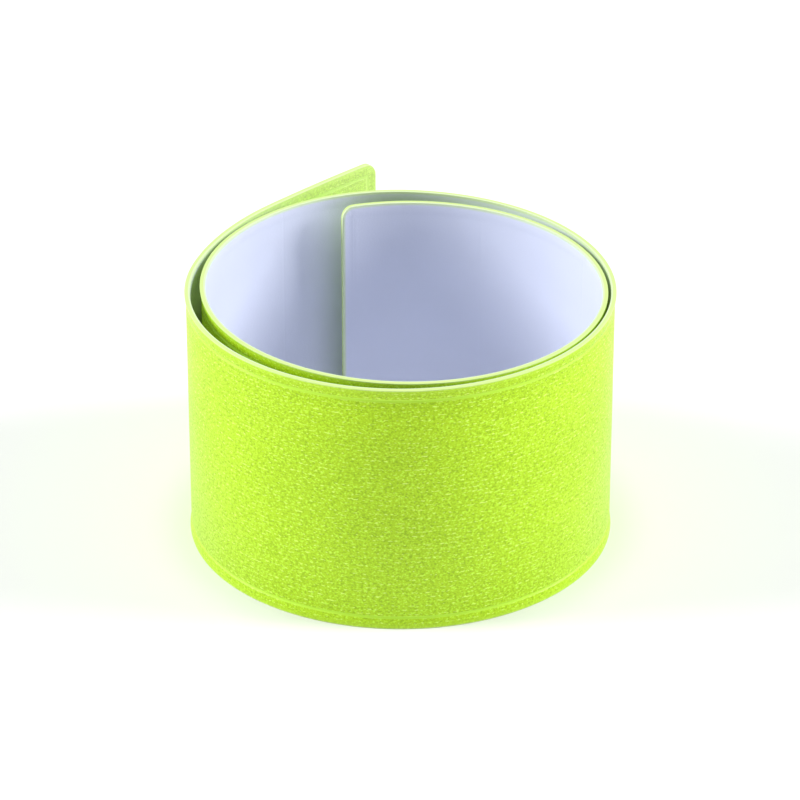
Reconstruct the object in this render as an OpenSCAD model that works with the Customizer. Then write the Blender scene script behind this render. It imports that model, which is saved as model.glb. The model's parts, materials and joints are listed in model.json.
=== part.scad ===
// Reflective snap band, coiled as it sits on a wrist: a sprung steel strip sealed between two vinyl films.
// It stands on one long edge. The origin is on the axis of the inner turn, at the height of that edge.
// The band winds clockwise, seen from above, from its inner end to its outer flap. Each film and the
// steel are cut at the same places into slices, because a chain of hinged slices carries the bending.

/* [Band] */
// Length along the band
band_l = 400; // [330:1:480]
// Width of the band, which is its height as it stands
band_w = 40; // [30:1:60]
// Rounding of the four corners of the films
corner_r = 2; // [0.5:0.1:5]

/* [Layers] */
// Thickness of the coloured outer film
front_film_t = 0.35; // [0.25:0.01:0.42]
// Thickness of the white film that touches the skin
back_film_t = 0.25; // [0.15:0.01:0.3]
// Thickness of the spring steel
steel_t = 0.18; // [0.12:0.01:0.22]
// Width of the spring steel
steel_w = 32; // [20:0.5:33]
// Distance from each end of the films to the end of the steel
steel_end_gap = 6; // [3:0.5:15]
// Rounding of the steel's corners
steel_corner_r = 4; // [1:0.5:8]
// Room for the steel in its pocket, through the thickness
pocket_play = 0.02; // [0.01:0.01:0.05]
// Room for the steel in its pocket, at its long edges and ends
pocket_side_play = 0.3; // [0.1:0.1:0.5]

/* [Coil] */
// Direction of the inner end, seen from the coil's axis
inner_end_a = 111; // [0:1:360]
// Degrees that the band turns through along the flap's root
flare_a = 27.9; // [15:0.1:36]
// Degrees that the band turns through along the flap's nearly straight end
tail_a = 4.5; // [1:0.1:15]

/* [Slices] */
// Gap between the end faces of neighbouring slices
slice_gap = 0.08; // [0.04:0.01:0.2]

/* [Hidden] */
$fn = 90;
SLICES = 18;
total_t = front_film_t + steel_t + pocket_play + back_film_t;
// Places of the layers through the thickness, measured outwards from the middle of the band
back_in = -total_t / 2;
back_out = back_in + back_film_t;
steel_out = back_out + steel_t;
pocket_out = steel_out + pocket_play;
front_out = total_t / 2;
steel_z = (band_w - steel_w) / 2;
cut_past = 1;
// How much nearer to a corner the centre of its rounding stands, so that the round crosses both edges
// at a slight angle and doesn't graze them
round_bias = 0.06;

slice_l = band_l / SLICES;
ARC_FACETS = 24;

// The coil as stretches of equal slices, from the inner end outwards: how many slices, and the degrees
// that each turns through. The inner turn comes first, then the climb off it, the tuck behind the inner
// end, the step over that end, the outer turn, and the flap's root and end.
STRETCHES = [[5, 43.86], [3, 40.39], [1, 46.21], [2, 39.05], [5, 40.25], [1, flare_a], [1, tail_a]];
turn_a = [for (stretch = STRETCHES) for (k = [1:stretch[0]]) stretch[1]];
bend_r = [for (a = turn_a) slice_l / a * 180 / PI];

function degrees_for(length, r) = length / r * 180 / PI;
function ray(a) = [cos(a), sin(a)];
// Direction from its centre to the start of a slice, and the centre that it bends around.
// Neighbours share the tangent at their joint, so a centre moves only along the joint's own ray.
function start_a(i) = i == 0 ? inner_end_a : start_a(i - 1) - turn_a[i - 1];
function centre(i) = i == 0 ? [0, 0] : centre(i - 1) + (bend_r[i - 1] - bend_r[i]) * ray(start_a(i));
function two_digits(n) = n < 10 ? str("0", n) : str(n);

PIECES = ["front_film", "steel", "back_film"];

// Part of a slice: from r_in to r_out of the middle radius, and from z0 up by h. Each end stands back from
// the slice's own end by a length along the band.
module curved_bar(i, r_in, r_out, z0, h, start_back, end_back) {
    r = bend_r[i];
    a_from = start_a(i) - degrees_for(start_back, r);
    a_to = start_a(i) - degrees_for(slice_l - end_back, r);
    facets = ARC_FACETS * 360 / turn_a[i];
    translate(concat(centre(i), [z0]))
        rotate_extrude(angle = a_from - a_to, start = a_to, $fn = facets)
            translate([r + r_in, 0])
                square([r_out - r_in, h]);
}

// The waste outside one rounded corner, through the thickness. The corner is at the origin of the turned
// frame, the band runs to +Y and +Z from it, and the waste is cut along X.
module corner_waste(round_r) {
    rotate([90, 0, 90])
        translate([0, 0, -cut_past - total_t])
            linear_extrude(2 * (cut_past + total_t))
                difference() {
                    translate([-cut_past, -cut_past])
                        square(round_r + cut_past);
                    translate([round_r - round_bias, round_r - round_bias])
                        circle(round_r);
                }
}

// The waste at the upper and lower corner of one end of the band. The end stands back from slice i's own
// end by a length along the band.
module end_waste(i, at_start, back, round_r, z0, h) {
    r = bend_r[i];
    a = start_a(i) - degrees_for(at_start ? back : slice_l - back, r);
    translate(concat(centre(i), [z0 + h / 2]))
        rotate(a)
            translate([r, 0, 0])
                for (upside = [0, 1])
                    mirror([0, 0, upside])
                        mirror([0, at_start ? 1 : 0, 0])
                            translate([0, 0, -h / 2])
                                corner_waste(round_r);
}

// A slice of a layer, with the band's own rounded end where the slice is the first or the last
module layer_slice(i, r_in, r_out, z0, h, end_back, round_r) {
    first = i == 0;
    last = i == SLICES - 1;
    start_back = first ? end_back : slice_gap / 2;
    finish_back = last ? end_back : slice_gap / 2;
    difference() {
        curved_bar(i, r_in, r_out, z0, h, start_back, finish_back);
        if (first) end_waste(i, true, start_back, round_r, z0, h);
        if (last) end_waste(i, false, finish_back, round_r, z0, h);
    }
}

// The outer film, with the shallow pocket that holds the steel; its rims reach the inner film
module front_film(i) {
    play = pocket_side_play;
    color([0.78, 0.94, 0.28])
        difference() {
            layer_slice(i, back_out, front_out, 0, band_w, 0, corner_r);
            curved_bar(
                i, back_out - cut_past, pocket_out, steel_z - play, steel_w + 2 * play,
                i == 0 ? steel_end_gap - play : -cut_past,
                i == SLICES - 1 ? steel_end_gap - play : -cut_past
            );
        }
}

module steel(i) {
    color([0.62, 0.64, 0.66])
        layer_slice(i, back_out, steel_out, steel_z, steel_w, steel_end_gap, steel_corner_r);
}

module back_film(i) {
    color([0.88, 0.89, 0.94])
        layer_slice(i, back_in, back_out, 0, band_w, 0, corner_r);
}

for (i = [0:SLICES - 1]) {
    front_film(i);
    steel(i);
    back_film(i);
}
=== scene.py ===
"""A coiled reflective snap band: two vinyl films around a strip of spring steel, on a pale studio floor.

Each layer is modelled flat, as the strip that it is cut from. The flat strip is cut into the same slices as
the frame's bodies, and each slice is bent to its own radius and laid on its body.
"""

import json
import math

import bmesh
import bpy
import numpy as np
from mathutils import Matrix, Vector

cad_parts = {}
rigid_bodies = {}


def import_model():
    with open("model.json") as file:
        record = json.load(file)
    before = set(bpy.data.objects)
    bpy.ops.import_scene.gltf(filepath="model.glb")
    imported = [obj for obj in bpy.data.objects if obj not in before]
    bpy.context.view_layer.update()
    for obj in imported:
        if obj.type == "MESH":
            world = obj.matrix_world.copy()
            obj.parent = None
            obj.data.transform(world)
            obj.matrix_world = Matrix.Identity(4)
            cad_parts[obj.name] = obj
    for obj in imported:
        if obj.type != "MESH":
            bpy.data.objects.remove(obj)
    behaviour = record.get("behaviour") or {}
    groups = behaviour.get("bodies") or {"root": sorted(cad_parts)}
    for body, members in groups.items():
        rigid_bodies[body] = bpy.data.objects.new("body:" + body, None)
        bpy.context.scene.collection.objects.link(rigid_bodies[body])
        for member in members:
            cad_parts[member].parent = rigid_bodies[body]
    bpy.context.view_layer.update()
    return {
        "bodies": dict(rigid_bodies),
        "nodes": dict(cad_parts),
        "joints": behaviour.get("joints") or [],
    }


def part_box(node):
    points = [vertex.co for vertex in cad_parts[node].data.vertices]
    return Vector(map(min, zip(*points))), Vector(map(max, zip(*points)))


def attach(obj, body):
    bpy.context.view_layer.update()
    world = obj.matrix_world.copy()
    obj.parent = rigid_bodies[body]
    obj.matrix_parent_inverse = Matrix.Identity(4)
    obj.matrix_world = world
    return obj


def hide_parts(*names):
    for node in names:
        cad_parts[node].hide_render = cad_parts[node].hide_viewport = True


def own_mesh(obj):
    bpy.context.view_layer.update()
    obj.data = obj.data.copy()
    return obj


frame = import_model()

bl_info = {
    "name": "Snap Band",
    "version": (1, 0, 0),
    "blender": (4, 5, 0),
    "location": "View3D > Sidebar > Snap Band",
    "description": "Builds a coiled reflective snap band on its frame, with its finishes and a studio stage",
    "category": "Object",
}

MM = 0.001
TOLERANCE = 1e-6

# The hidden steel and its pocket
STEEL_END_GAP = 6 * MM
STEEL_CORNER_R = 4 * MM
POCKET_SIDE_PLAY = 0.3 * MM
POCKET_PLAY = 0.02 * MM

# How finely the layers are shaped
BEND_STEPS = 48
LEAN_STEPS = 4
SMOOTH_A = math.radians(35)
BACK_SEAL_DEPTH = 0.03 * MM

# Grain of the films, in millimetres, and the glow of the fluorescent one
GLINT_ROW_PITCH = 0.74
GRAIN_HEIGHT = 0.06 * MM
GRAIN_STRENGTH = 0.9
FLUORESCENCE = 0.05

# Tints that the films' colours are blended with: painted shade and painted highlights, and cut edges that are
# partly painted highlight
# Painted shade: darker specks in the hollows of the embossed grain
GRAIN_SHADE_SHARES = (0.50, 0.59, 0.4)
# Painted highlight: lighter specks on the tops of the grain
GRAIN_HIGHLIGHT = (0.62, 1.0, 0.08, 1)
GLINT = (0.76, 1.0, 0.20, 1)
# Painted highlight on the smooth line that the heat seal presses
SEAL_HIGHLIGHT = (0.56, 0.90, 0.10, 1)
# Painted highlight: a paler band within a millimetre of the cut edge
EDGE_HIGHLIGHT = (0.57, 0.86, 0.10, 1)
# Partly the coloured film's own paler cut edge, partly a painted highlight on the rim
FILM_CUT_EDGE_AND_HIGHLIGHT = (0.58, 0.72, 0.30, 1)
# Pale green of the backing's rim: partly the cut edge's own tone, partly a painted highlight
BACKING_CUT_EDGE_AND_HIGHLIGHT = (0.62, 0.76, 0.38, 1)
# Painted light: a paler tint for the coloured film on the flap's inner face, as where light falls on it
FLAP_PAINTED_LIGHT = (0.68, 0.76, 0.42, 1)


# Reading the frame


def circle_through(points):
    """Centre and radius of the circle that fits best through a set of points in the plane."""
    rows = np.column_stack([2 * points, np.ones(len(points))])
    x, y, k = np.linalg.lstsq(rows, (points**2).sum(1), rcond=None)[0]
    return np.array([x, y]), math.sqrt(k + x * x + y * y)


def curved_face(node, outer):
    """The circle that a curved node's outer or inner face follows, and that face's points. Outwards is square
    to the node's length, away from the coil's axis, which lies on the inner side of every slice."""
    mesh = frame["nodes"][node].data
    plan = np.array([v.co[:2] for v in mesh.vertices])
    outward = np.linalg.svd(plan - plan.mean(0), full_matrices=False)[2][1]
    outward *= np.sign(outward @ plan.mean(0)) * (1 if outer else -1)
    faces = [face for face in mesh.polygons if np.array(face.normal[:2]) @ outward > 0.8]
    points = np.array([plan[v] for face in faces for v in face.vertices])
    return (*circle_through(points), points)


class Slice:
    """One slice of the coil as the frame has it: how it bends, where it lies and which body carries it."""

    def __init__(self, i, count):
        self.i = i
        self.name = f"{i + 1:02d}"
        self.body = f"slice_{self.name}"
        self.first = i == 0
        self.last = i == count - 1
        self.centre, self.outer_r, outer_face = curved_face(f"front_film_{self.name}", True)
        self.inner_r = curved_face(f"back_film_{self.name}", False)[1]
        self.radius = (self.outer_r + self.inner_r) / 2
        x, y = outer_face.mean(0) - self.centre
        self.middle_a = math.atan2(y, x)
        round_from_middle = [self.turned(point) for point in outer_face]
        start, end = self.pivot(i), self.pivot(i + 1)
        start_a = max(round_from_middle) if start is None else self.turned(start)
        end_a = min(round_from_middle) if end is None else self.turned(end)
        self.middle_a += (start_a + end_a) / 2
        self.turn = start_a - end_a

    def turned(self, point):
        """How far round from the slice's middle a point is, counter-clockwise."""
        x, y = np.array(point[:2]) - self.centre
        return (math.atan2(y, x) - self.middle_a + math.pi) % (2 * math.pi) - math.pi

    def pivot(self, i):
        """The hinge between slices i - 1 and i, or None past the ends of the band."""
        pair = {f"slice_{i:02d}", f"slice_{i + 1:02d}"}
        found = [j["pos_m"] for j in frame["joints"] if {j["parent"], j["child"]} == pair]
        return found[0] if found else None

    def outward(self):
        return Vector((math.cos(self.middle_a), math.sin(self.middle_a), 0))

    def chord_middle(self):
        """The middle of the straight line between the ends of the slice's outer face."""
        return Vector((*self.centre, 0)) + self.outer_r * math.cos(self.turn / 2) * self.outward()

    def place(self):
        """Takes a bent slice, whose middle is at the origin and faces -Y, to its place in the coil."""
        turn = Matrix.Rotation(self.middle_a + math.pi / 2, 4, "Z")
        return (
            Matrix.Translation(Vector((*self.centre, 0)))
            @ turn
            @ Matrix.Translation(Vector((0, -self.radius, 0)))
        )


COUNT = len(frame["bodies"])
SLICES = [Slice(i, COUNT) for i in range(COUNT)]
SLICE_L = SLICES[COUNT // 2].radius * SLICES[COUNT // 2].turn
BAND_L = SLICE_L * COUNT
BAND_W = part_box("front_film_02")[1].z
FILM_OUT = -(SLICES[1].outer_r - SLICES[1].inner_r) / 2
FILM_SPLIT = FILM_OUT + SLICES[1].outer_r - curved_face("back_film_02", True)[1]
STEEL_SPLIT = FILM_OUT + SLICES[1].outer_r - curved_face("steel_02", True)[1]
FILM_IN = -FILM_OUT
STEEL_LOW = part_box("steel_02")[0].z


# Sizes and colours that a user would change


class SnapBandSizes(bpy.types.PropertyGroup):
    """Sizes of the details that the films carry."""

    corner_r: bpy.props.FloatProperty(
        name="Corner radius", description="Rounding of the films' four corners",
        default=2 * MM, min=0.0005, max=0.005, precision=4, subtype="DISTANCE", unit="LENGTH",
    )
    border: bpy.props.FloatProperty(
        name="Border", description="Smooth border between the rim and the heat seal",
        default=1.6 * MM, min=0.0005, max=0.004, precision=4, subtype="DISTANCE", unit="LENGTH",
    )
    seal_w: bpy.props.FloatProperty(
        name="Seal width", description="Width of the groove that the heat seal presses",
        default=0.5 * MM, min=0.0001, max=0.002, precision=4, subtype="DISTANCE", unit="LENGTH",
    )
    seal_depth: bpy.props.FloatProperty(
        name="Seal depth", description="Depth of the heat seal in the coloured film",
        default=0.13 * MM, min=0, max=0.0003, precision=5, subtype="DISTANCE", unit="LENGTH",
    )
    flare: bpy.props.FloatProperty(
        name="Rim flare", description="How far the long rims lean outwards",
        default=0.2 * MM, min=0, max=0.0004, precision=5, subtype="DISTANCE", unit="LENGTH",
    )
    rim_round: bpy.props.FloatProperty(
        name="Rim rounding", description="Rounding of the films' cut edges",
        default=0.1 * MM, min=0.00002, max=0.00012, precision=5, subtype="DISTANCE", unit="LENGTH",
    )


class SnapBandColours(bpy.types.PropertyGroup):
    """Colours of the three layers."""

    film: bpy.props.FloatVectorProperty(
        name="Reflective film", description="Base colour of the coloured film",
        default=(0.425, 0.675, 0.004), size=3, min=0, max=1, subtype="COLOR",
    )
    backing: bpy.props.FloatVectorProperty(
        name="Backing", description="Colour of the white film",
        default=(0.685, 0.725, 0.87), size=3, min=0, max=1, subtype="COLOR",
    )
    steel: bpy.props.FloatVectorProperty(
        name="Spring steel", description="Colour of the steel",
        default=(0.56, 0.57, 0.58), size=3, min=0, max=1, subtype="COLOR",
    )


# Shader maths


class Signal:
    """A number that changes over a surface, for use in ordinary arithmetic."""

    def __init__(self, finish, socket):
        self.finish = finish
        self.socket = socket

    def _math(self, operation, *values):
        made = self.finish.node("ShaderNodeMath", {"operation": operation}, dict(enumerate(values)))
        return Signal(self.finish, made.outputs[0])

    def __add__(self, other):
        return self._math("ADD", self, other)

    def __sub__(self, other):
        return self._math("SUBTRACT", self, other)

    def __rsub__(self, other):
        return self._math("SUBTRACT", other, self)

    def __mul__(self, other):
        return self._math("MULTIPLY", self, other)

    __radd__ = __add__
    __rmul__ = __mul__

    def sine(self):
        return self._math("SINE", self)

    def at_most(self, other):
        return self._math("MINIMUM", self, other)

    def at_least(self, other):
        return self._math("MAXIMUM", self, other)

    def rise(self, low, high):
        """0 below low, 1 above high, and smooth between."""
        made = self.finish.node(
            "ShaderNodeMapRange", {"interpolation_type": "SMOOTHSTEP"}, {0: self, 1: low, 2: high, 3: 0, 4: 1}
        )
        return Signal(self.finish, made.outputs[0])


class Finish:
    """One material, with its nodes."""

    def __init__(self, name, **constants):
        self.material = bpy.data.materials.new(name)
        self.material.use_nodes = True
        self.tree = self.material.node_tree
        self.tree.nodes.clear()
        self.shader = self.node("ShaderNodeBsdfPrincipled", {}, {})
        output = self.node("ShaderNodeOutputMaterial", {}, {})
        self.tree.links.new(self.shader.outputs[0], output.inputs["Surface"])
        for socket, value in constants.items():
            self.shader.inputs[socket.replace("_", " ")].default_value = value

    def node(self, kind, settings, values):
        made = self.tree.nodes.new(kind)
        for setting, value in settings.items():
            setattr(made, setting, value)
        for key, value in values.items():
            socket = made.inputs[key]
            if isinstance(value, Signal):
                self.tree.links.new(value.socket, socket)
            elif isinstance(value, bpy.types.NodeSocket):
                self.tree.links.new(value, socket)
            else:
                socket.default_value = value
        return made

    def feed(self, socket, value):
        source = value.socket if isinstance(value, Signal) else value
        self.tree.links.new(source, self.shader.inputs[socket])

    def blend(self, share, colour_a, colour_b):
        """A colour that goes from a to b as share goes from 0 to 1."""
        made = self.node("ShaderNodeMix", {"data_type": "RGBA"}, {0: share, 6: colour_a, 7: colour_b})
        return made.outputs[2]

    def strip(self):
        """Place on the flat strip in millimetres: along it, through it and across it."""
        place = self.node("ShaderNodeAttribute", {"attribute_name": "strip"}, {})
        parts = self.node("ShaderNodeSeparateXYZ", {}, {0: place.outputs["Vector"]})
        return [Signal(self, parts.outputs[k]) * 1000 for k in range(3)]

    def point(self, x, y, z):
        return self.node("ShaderNodeCombineXYZ", {}, {0: x, 1: y, 2: z}).outputs[0]

    def noise(self, place, detail=2.0, roughness=0.5):
        values = {"Vector": place, "Scale": 1.0, "Detail": detail, "Roughness": roughness}
        return Signal(self, self.node("ShaderNodeTexNoise", {}, values).outputs[0])

    def bump(self, height, distance, strength):
        made = self.node("ShaderNodeBump", {}, {"Height": height, "Distance": distance, "Strength": strength})
        self.feed("Normal", made.outputs["Normal"])


def rgba(colour, share=1.0):
    return (*[c * share for c in colour], 1)


def from_rim(along, across):
    """Distance in millimetres from the nearest side of the strip, which is what the heat seal follows."""
    length, width = BAND_L / MM, BAND_W / MM
    return along.at_most(length - along).at_most(across).at_most(width - across)


def from_cut_edge(finish, along, across, corner_r):
    """Distance in millimetres from the cut edge, which is rounded at the corners, up to their radius."""
    length, width, radius = BAND_L / MM, BAND_W / MM, corner_r / MM
    into_x = (radius - along.at_most(length - along)).at_least(0)
    into_z = (radius - across.at_most(width - across)).at_least(0)
    inwards = finish.point(into_x, 0.0, into_z)
    depth = finish.node("ShaderNodeVectorMath", {"operation": "LENGTH"}, {0: inwards})
    return radius - Signal(finish, depth.outputs["Value"])


def film_look(finish, place, colour, sizes):
    """Colour, roughness and grain height of the fluorescent vinyl: a fine embossed grain with painted shade
    in its hollows, painted highlights on its tops and painted glints in rows, a smooth line where the heat
    seal is pressed, with a painted highlight on it, a painted highlight along the edges, and pale cut edges
    that are partly a painted highlight."""
    along, through, across = place
    rim = from_rim(along, across)
    border, panel = sizes.border / MM, (sizes.border + sizes.seal_w) / MM
    seal = rim.rise(border - 0.05, border + 0.1) * (1 - rim.rise(panel - 0.1, panel + 0.05))
    edge = from_cut_edge(finish, along, across, sizes.corner_r)
    cut_edge = 1 - edge.rise(0.05, 0.25)
    # Painted highlight along the cut edges, which also damps the grain there
    edge_sheen = 1 - edge.rise(0.2, 1.0)
    grained = (1 - seal) * (1 - edge_sheen * 0.4)
    speck = finish.noise(finish.point(along * 3.0, through * 2, across * 3.6), 2.0, 0.6)
    pebble = finish.noise(finish.point(along * 1.7, through * 2, across * 2.6), 1.0)
    streak = finish.noise(finish.point(along * 1.7, through * 2, across * 4.0), 1.0)
    cloud = finish.noise(finish.point(along * 0.05, 0.0, across * 0.08))
    row = (across * (2 * math.pi / GLINT_ROW_PITCH)).sine().rise(0.2, 0.9)
    grain = speck * 0.7 + pebble * 0.3
    # Lighter specks are a painted highlight on the tops of the grain
    bright = grain.rise(0.52, 0.64) * grained
    # Darker specks are painted shade in the grain's hollows
    dark = (1 - grain.rise(0.36, 0.50)) * grained
    glint = streak.rise(0.55, 0.66) * row * grained
    body = finish.blend(cloud.rise(0.35, 0.65), rgba(colour, 0.95), rgba(colour))
    # The painted shade colour of the grain's hollows
    grain_shade = rgba([c * share for c, share in zip(colour, GRAIN_SHADE_SHARES)])
    body = finish.blend(dark * 0.7, body, grain_shade)
    body = finish.blend(bright * 0.55, body, GRAIN_HIGHLIGHT)
    body = finish.blend(glint * 0.65, body, GLINT)
    # Painted highlight along the heat seal
    body = finish.blend(seal * 0.6, body, SEAL_HIGHLIGHT)
    # Painted highlight along the cut edges
    body = finish.blend(edge_sheen * 0.2, body, EDGE_HIGHLIGHT)
    # The cut edge's own paler tone, with a painted highlight on the rim
    body = finish.blend(cut_edge * 0.85, body, FILM_CUT_EDGE_AND_HIGHLIGHT)
    roughness = 0.46 - seal * 0.2 + dark * 0.1 - bright * 0.08 - glint * 0.1
    return body, roughness, (grain + glint * 0.4) * grained


def reflective_film(colour, sizes):
    """The coloured film."""
    finish = Finish(
        "reflective_film", IOR=1.34, Coat_Weight=0.18, Coat_Roughness=0.2, Coat_IOR=1.45,
        Emission_Strength=FLUORESCENCE,
    )
    body, roughness, height = film_look(finish, finish.strip(), colour, sizes)
    finish.feed("Base Color", body)
    finish.feed("Emission Color", body)
    finish.feed("Roughness", roughness)
    finish.bump(height, GRAIN_HEIGHT, GRAIN_STRENGTH)
    return finish.material


def white_backing(colour, film_colour, sizes):
    """Satin white vinyl, which gives way on the flap's inner face to the coloured film, paled there by
    painted light.
    """
    finish = Finish(
        "white_backing", IOR=1.47, Coat_Weight=0.08, Coat_Roughness=0.35, Emission_Strength=FLUORESCENCE
    )
    place = finish.strip()
    along, through, across = place
    cut_edge = 1 - from_cut_edge(finish, along, across, sizes.corner_r).rise(0.1, 0.6)
    cloud = finish.noise(finish.point(along * 0.05, 0.0, across * 0.07), 3.0)
    pores = finish.noise(finish.point(along * 4, through * 4, across * 4))
    flap = (along + cloud * 6).rise((BAND_L - 2.1 * SLICE_L) / MM, (BAND_L - 0.4 * SLICE_L) / MM)
    film, film_roughness, film_height = film_look(finish, place, film_colour, sizes)
    # The flap's coloured film is paled by painted light
    film = finish.blend(0.35, film, FLAP_PAINTED_LIGHT)
    body = finish.blend(cloud.rise(0.3, 0.7), rgba(colour, 0.97), rgba(colour))
    # The backing's cut edge, partly its own tone and partly a painted highlight on the rim
    body = finish.blend(cut_edge * 0.85, body, BACKING_CUT_EDGE_AND_HIGHLIGHT)
    finish.feed("Base Color", finish.blend(flap, body, film))
    finish.feed("Emission Color", finish.blend(flap, (0, 0, 0, 1), film))
    finish.feed("Roughness", (0.42 + cloud * 0.08 + pores * 0.05) * (1 - flap) + film_roughness * flap)
    height = (pores + cloud * 2) * 0.3 * (1 - flap) + film_height * flap
    finish.bump(height, GRAIN_HEIGHT, GRAIN_STRENGTH)
    return finish.material


def rolled_steel(colour):
    """Bright spring steel with the fine lines that rolling leaves along the strip."""
    finish = Finish("rolled_steel", IOR=2.5, Metallic=1.0)
    along, _, across = finish.strip()
    lines = finish.noise(finish.point(along * 0.04, 0.0, across * 14), 3.0, 0.6)
    stain = finish.noise(finish.point(along * 0.1, 0.0, across * 0.1), 3.0, 0.6)
    body = finish.blend(stain.rise(0.35, 0.75), rgba(colour), rgba(colour, 0.82))
    finish.feed("Base Color", body)
    finish.feed("Roughness", 0.22 + lines * 0.2)
    finish.bump(lines, 0.01 * MM, 0.6)
    return finish.material


# Modelling


def use_only(obj):
    """Makes an object the only selected one, and the active one."""
    for other in list(bpy.context.selected_objects):
        other.select_set(False)
    obj.select_set(True)
    bpy.context.view_layer.objects.active = obj


def select(kind, wanted):
    """In edit mode, selects only the vertices, edges or faces that a test picks."""
    mesh_data = bpy.context.object.data
    bpy.ops.mesh.select_mode(type=kind)
    bpy.ops.mesh.select_all(action="DESELECT")
    mesh = bmesh.from_edit_mesh(mesh_data)
    found = [e for e in {"VERT": mesh.verts, "EDGE": mesh.edges, "FACE": mesh.faces}[kind] if wanted(e)]
    for element in found:
        element.select_set(True)
    mesh.select_flush_mode()
    bmesh.update_edit_mesh(mesh_data)
    if not found:
        raise RuntimeError(f"nothing to select on {bpy.context.object.name}")


def middle_of(element):
    return sum((vert.co for vert in element.verts), Vector()) / len(element.verts)


def is_along(edge, axis):
    line = edge.verts[1].co - edge.verts[0].co
    return abs(line[axis]) > 0.99 * line.length


def flat_block(name, length, y_from, y_to, z_from, z_to):
    """A flat layer as a plain block, left in edit mode: X runs back along the band, Y inwards, Z across."""
    bpy.ops.object.select_all(action="DESELECT")
    bpy.ops.mesh.primitive_cube_add(
        size=1, location=(0, (y_from + y_to) / 2, (z_from + z_to) / 2),
        scale=(length, y_to - y_from, z_to - z_from),
    )
    obj = bpy.context.object
    obj.name = name
    bpy.ops.object.transform_apply(location=True, rotation=True, scale=True)
    bpy.ops.object.mode_set(mode="EDIT")
    return obj


def press_seal(side, sizes, depth):
    """Presses the heat seal into the outer (-1) or inner (1) face: a border, a groove, and the panel."""
    select("FACE", lambda face: face.normal.y * side > 0.9)
    bpy.ops.mesh.inset(thickness=sizes.border, depth=0)
    bpy.ops.mesh.inset(thickness=sizes.seal_w / 2, depth=-depth)
    bpy.ops.mesh.inset(thickness=sizes.seal_w / 2, depth=depth)


def is_pocket_corner(vert, x, margin):
    """Whether a point of the inner face is a corner of the pocket at x, and not of the film."""
    x_fits = abs(vert.co.x - x) < TOLERANCE
    return x_fits and vert.co.y > 0 and abs(vert.co.z - BAND_W / 2) < BAND_W / 2 - margin / 2


def is_pocket_floor(face):
    """Whether a face of the inner side is the one in the middle of the film."""
    at = middle_of(face)
    return face.normal.y > 0.9 and abs(at.x) < TOLERANCE and abs(at.z - BAND_W / 2) < TOLERANCE


def sink_pocket():
    """Sinks the steel's pocket into the inner face of the coloured film, with wider margins at the ends."""
    margin, end_margin = STEEL_LOW - POCKET_SIDE_PLAY, STEEL_END_GAP - POCKET_SIDE_PLAY
    select("FACE", lambda face: face.normal.y > 0.9)
    bpy.ops.mesh.inset(thickness=margin, depth=0)
    for end in (-1, 1):
        reach = end * (BAND_L / 2 - margin)
        select("VERT", lambda v: is_pocket_corner(v, reach, margin))
        bpy.ops.transform.translate(value=(end * (margin - end_margin), 0, 0))
    select("FACE", is_pocket_floor)
    bpy.ops.transform.translate(value=(0, STEEL_SPLIT - FILM_SPLIT - POCKET_PLAY, 0))


def round_corners(length, low, high, radius):
    """Rounds the four corners of a flat layer."""

    def at_corner(edge):
        at = middle_of(edge)
        return (
            is_along(edge, 1)
            and abs(at.x) > length / 2 - TOLERANCE
            and min(at.z - low, high - at.z) < TOLERANCE
        )

    select("EDGE", at_corner)
    bpy.ops.mesh.bevel(offset=radius, segments=10, affect="EDGES", clamp_overlap=False)


def soften_rim(y, side, radius):
    """Rounds the cut edge all round a layer's outer (-1) or inner (1) face."""

    def on_rim(edge):
        flat = all(abs(v.co.y - y) < TOLERANCE for v in edge.verts)
        tilts = [face.normal.y * side for face in edge.link_faces]
        return flat and len(tilts) == 2 and min(tilts) < 0.1 and max(tilts) > 0.9

    select("EDGE", on_rim)
    bpy.ops.mesh.bevel(offset=radius, segments=3, affect="EDGES", clamp_overlap=False)


def lean_rims(sizes):
    """Leans the two long rims outwards, from nothing at the heat seal to the whole flare at the edge."""
    for step in range(LEAN_STEPS):
        reach = sizes.border * (1 - step / LEAN_STEPS)
        select("VERT", lambda v: min(v.co.z, BAND_W - v.co.z) < reach - TOLERANCE)
        bpy.ops.transform.translate(value=(0, -sizes.flare / LEAN_STEPS, 0))


def cut(x, keep_below=None):
    """Cuts the mesh across at x. With keep_below it drops the other side and closes the cut."""
    bpy.ops.mesh.select_all(action="SELECT")
    bpy.ops.mesh.bisect(
        plane_co=(x, 0, 0), plane_no=(1, 0, 0), use_fill=keep_below is not None,
        clear_inner=keep_below is False, clear_outer=keep_below is True, threshold=1e-7,
    )


def cut_out(strip, name, start):
    """A copy of one slice of the flat strip, centred, with cuts across it for the bend."""
    obj = strip.copy()
    obj.data = strip.data.copy()
    obj.name = name
    bpy.context.collection.objects.link(obj)
    use_only(obj)
    bpy.ops.object.mode_set(mode="EDIT")
    if start + SLICE_L < BAND_L / 2 - TOLERANCE:
        cut(start + SLICE_L, True)
    if start > -BAND_L / 2 + TOLERANCE:
        cut(start, False)
    for step in range(1, BEND_STEPS):
        cut(start + SLICE_L * step / BEND_STEPS)
    bpy.ops.mesh.select_all(action="SELECT")
    bpy.ops.transform.translate(value=(-start - SLICE_L / 2, 0, 0))
    bpy.ops.object.mode_set(mode="OBJECT")
    return obj


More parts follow.
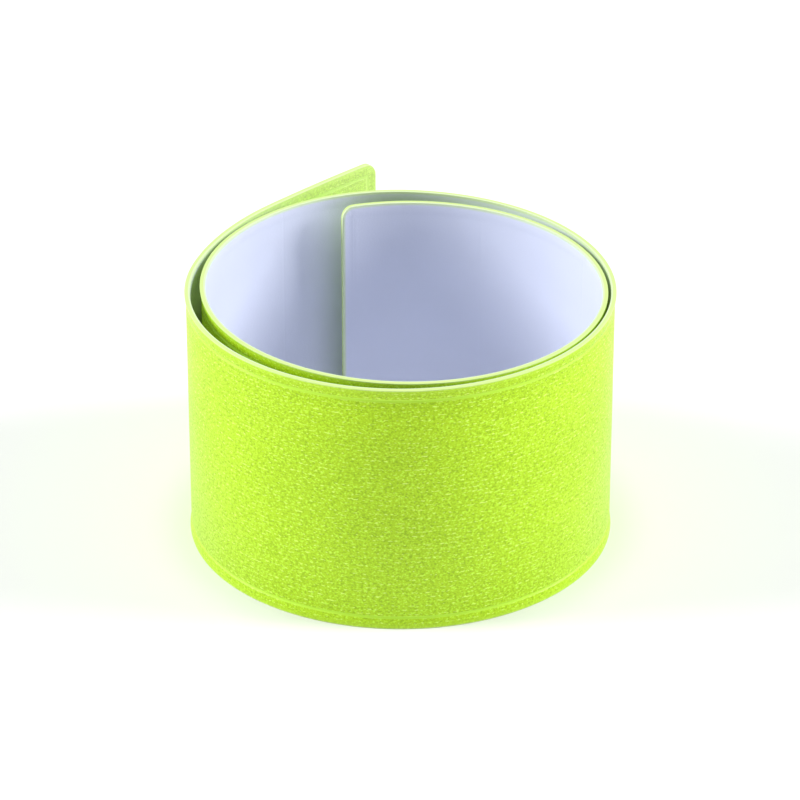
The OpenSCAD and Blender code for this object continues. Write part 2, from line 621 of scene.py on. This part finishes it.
def add_tongue(end, reach):
    """Draws a slice's cut end out under its neighbour, so no gap opens there when the band is straight."""

    def on_cut(face):
        return face.normal.x * end > 0.99 and middle_of(face).x * end > SLICE_L / 2 - TOLERANCE

    select("FACE", on_cut)
    bpy.ops.mesh.extrude_region_move(TRANSFORM_OT_translate={"value": (end * reach, 0, 0)})
    mesh = bmesh.from_edit_mesh(bpy.context.object.data)
    at = middle_of(next(face for face in mesh.faces if face.select))
    heights = [vert.co.y for vert in mesh.verts if vert.select]
    middle = (at.x, (min(heights) + max(heights)) / 2, BAND_W / 2)
    bpy.ops.transform.resize(value=(1, 0.8, 0.998), center_override=middle)


def bend_to_place(part, slice_):
    """Notes each point's place on the flat strip, bends the slice to its radius and lays it in the coil."""
    use_only(part)
    flat = np.array([v.co for v in part.data.vertices])
    place = part.data.attributes.new("strip", "FLOAT_VECTOR", "POINT")
    flat_place = flat.copy()
    flat_place[:, 0] = (slice_.i + 0.5) * SLICE_L - flat[:, 0]
    place.data.foreach_set("vector", flat_place.astype(np.float32).ravel())
    bend = part.modifiers.new("Bend", "SIMPLE_DEFORM")
    bend.deform_method = "BEND"
    bend.deform_axis = "Z"
    bend.angle = (flat[:, 0].max() - flat[:, 0].min()) / slice_.radius
    bpy.ops.object.modifier_apply(modifier=bend.name)
    part.matrix_world = slice_.place()
    bpy.ops.object.transform_apply(location=True, rotation=True, scale=True)
    bpy.ops.object.shade_smooth_by_angle(angle=SMOOTH_A)


def lay_slices(strip, layer, material, tongue_depth):
    """Cuts a flat strip into slices, bends each and puts it on its body in place of the plain node."""
    bpy.ops.object.mode_set(mode="OBJECT")
    patterns = {
        "first": cut_out(strip, layer + "_first", BAND_L / 2 - SLICE_L),
        "middle": cut_out(strip, layer + "_middle", 0),
        "last": cut_out(strip, layer + "_last", -BAND_L / 2),
    }
    for slice_ in SLICES:
        pattern = patterns["first" if slice_.first else "last" if slice_.last else "middle"]
        part = pattern.copy()
        part.data = pattern.data.copy()
        part.name = f"{layer}_slice_{slice_.name}"
        bpy.context.collection.objects.link(part)
        use_only(part)
        part.data.materials.clear()
        part.data.materials.append(material)
        if tongue_depth:
            bpy.ops.object.mode_set(mode="EDIT")
            reach = tongue_depth * math.tan(slice_.turn / 2)
            if not slice_.first:
                add_tongue(1, reach)
            if not slice_.last:
                add_tongue(-1, reach)
            bpy.ops.object.mode_set(mode="OBJECT")
        bend_to_place(part, slice_)
        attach(part, slice_.body)
        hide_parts(f"{layer}_{slice_.name}")
        slice_.outward()
        slice_.chord_middle()
        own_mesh(part)
    for spare in (strip, *patterns.values()):
        bpy.data.objects.remove(spare)


# Operators


class SNAPBAND_OT_front_film(bpy.types.Operator):
    """Models the coloured outer film, with its border, heat seal and steel pocket, and lays it on the coil"""

    bl_idname = "snapband.front_film"
    bl_label = "Coloured Film"

    def execute(self, context):
        sizes = context.scene.snapband_sizes
        strip = flat_block("flat_front_film", BAND_L, FILM_OUT, FILM_SPLIT, 0, BAND_W)
        press_seal(-1, sizes, sizes.seal_depth)
        sink_pocket()
        round_corners(BAND_L, 0, BAND_W, sizes.corner_r)
        soften_rim(FILM_OUT, -1, sizes.rim_round)
        lean_rims(sizes)
        material = reflective_film(context.scene.snapband_colours.film, sizes)
        lay_slices(strip, "front_film", material, FILM_SPLIT - FILM_OUT)
        return {"FINISHED"}


class SNAPBAND_OT_spring_steel(bpy.types.Operator):
    """Models the strip of spring steel that pulls the band round, and lays it in the pocket"""

    bl_idname = "snapband.spring_steel"
    bl_label = "Spring Steel"

    def execute(self, context):
        length = BAND_L - 2 * STEEL_END_GAP
        strip = flat_block("flat_steel", length, STEEL_SPLIT, FILM_SPLIT, STEEL_LOW, BAND_W - STEEL_LOW)
        round_corners(length, STEEL_LOW, BAND_W - STEEL_LOW, STEEL_CORNER_R)
        material = rolled_steel(context.scene.snapband_colours.steel)
        lay_slices(strip, "steel", material, 0)
        return {"FINISHED"}


class SNAPBAND_OT_back_film(bpy.types.Operator):
    """Models the white film that lies against the skin, and lays it inside the coil"""

    bl_idname = "snapband.back_film"
    bl_label = "White Backing"

    def execute(self, context):
        sizes = context.scene.snapband_sizes
        strip = flat_block("flat_back_film", BAND_L, FILM_SPLIT, FILM_IN, 0, BAND_W)
        press_seal(1, sizes, BACK_SEAL_DEPTH)
        round_corners(BAND_L, 0, BAND_W, sizes.corner_r)
        soften_rim(FILM_IN, 1, sizes.rim_round)
        lean_rims(sizes)
        colours = context.scene.snapband_colours
        material = white_backing(colours.backing, colours.film, sizes)
        lay_slices(strip, "back_film", material, FILM_IN - FILM_OUT)
        return {"FINISHED"}


def soft_light(name, towards, irradiance, width):
    """A light so far off that it is even over the whole floor, as wide as a softbox seen from the band."""
    data = bpy.data.lights.new(name, "SUN")
    data.energy = irradiance
    data.angle = math.radians(width)
    light = bpy.data.objects.new(name, data)
    bpy.context.collection.objects.link(light)
    light.location = towards
    light.rotation_euler = (-Vector(towards)).to_track_quat("-Z", "Y").to_euler()


class SNAPBAND_OT_stage(bpy.types.Operator):
    """Sets the pale floor and backdrop, the soft studio light and the camera"""

    bl_idname = "snapband.stage"
    bl_label = "Studio Stage"

    def execute(self, context):
        bpy.ops.object.select_all(action="DESELECT")
        bpy.ops.mesh.primitive_plane_add(size=8, location=(0, 0, 0))
        floor = context.object
        floor.name = "studio_floor"
        paper = Finish("studio_paper", Base_Color=(0.85, 0.85, 0.86, 1), Roughness=0.85)
        floor.data.materials.append(paper.material)
        bpy.ops.mesh.primitive_cylinder_add(
            vertices=96, radius=3.8, depth=0.6, end_fill_type="NOTHING", location=(0, 0, 0.3)
        )
        backdrop = context.object
        backdrop.name = "studio_backdrop"
        backdrop.data.materials.append(paper.material)
        bpy.ops.object.shade_smooth()

        world = bpy.data.worlds.new("studio")
        world.use_nodes = True
        sky = world.node_tree.nodes["Background"]
        sky.inputs["Color"].default_value = (0.93, 0.96, 1, 1)
        sky.inputs["Strength"].default_value = 0.28
        context.scene.world = world

        soft_light("left_softbox", (-0.56, 0.02, 0.27), 2.8, 26)
        soft_light("right_softbox", (0.56, 0.02, 0.27), 2.8, 26)
        soft_light("overhead", (0, 0, 1), 1.3, 20)

        elevation, reach, look_at = math.radians(28.9), 0.6484, Vector((-0.0014, -0.0027, 0.0225))
        data = bpy.data.cameras.new("camera")
        data.sensor_width = 36
        data.lens = 193.9
        data.clip_start, data.clip_end = 0.01, 20
        camera = bpy.data.objects.new("camera", data)
        context.collection.objects.link(camera)
        camera.location = look_at + reach * Vector((0, -math.cos(elevation), math.sin(elevation)))
        camera.rotation_euler = (look_at - camera.location).to_track_quat("-Z", "Y").to_euler()
        context.scene.camera = camera
        context.scene.view_settings.view_transform = "Standard"
        return {"FINISHED"}


class SNAPBAND_PT_panel(bpy.types.Panel):
    """Lists the band's sizes, colours and operators"""

    bl_idname = "SNAPBAND_PT_panel"
    bl_label = "Snap Band"
    bl_space_type = "VIEW_3D"
    bl_region_type = "UI"
    bl_category = "Snap Band"

    def draw(self, context):
        for group in (context.scene.snapband_sizes, context.scene.snapband_colours):
            for name in group.__annotations__:
                self.layout.prop(group, name)
        for operator in OPERATORS:
            self.layout.operator(operator.bl_idname)


OPERATORS = (SNAPBAND_OT_stage, SNAPBAND_OT_front_film, SNAPBAND_OT_spring_steel, SNAPBAND_OT_back_film)
CLASSES = (SnapBandSizes, SnapBandColours, *OPERATORS, SNAPBAND_PT_panel)


def register():
    for cls in CLASSES:
        bpy.utils.register_class(cls)
    bpy.types.Scene.snapband_sizes = bpy.props.PointerProperty(type=SnapBandSizes)
    bpy.types.Scene.snapband_colours = bpy.props.PointerProperty(type=SnapBandColours)


def unregister():
    del bpy.types.Scene.snapband_sizes
    del bpy.types.Scene.snapband_colours
    for cls in reversed(CLASSES):
        bpy.utils.unregister_class(cls)


def main():
    register()
    bpy.ops.snapband.stage()
    bpy.ops.snapband.front_film()
    bpy.ops.snapband.spring_steel()
    bpy.ops.snapband.back_film()


if __name__ == "__main__":
    main()
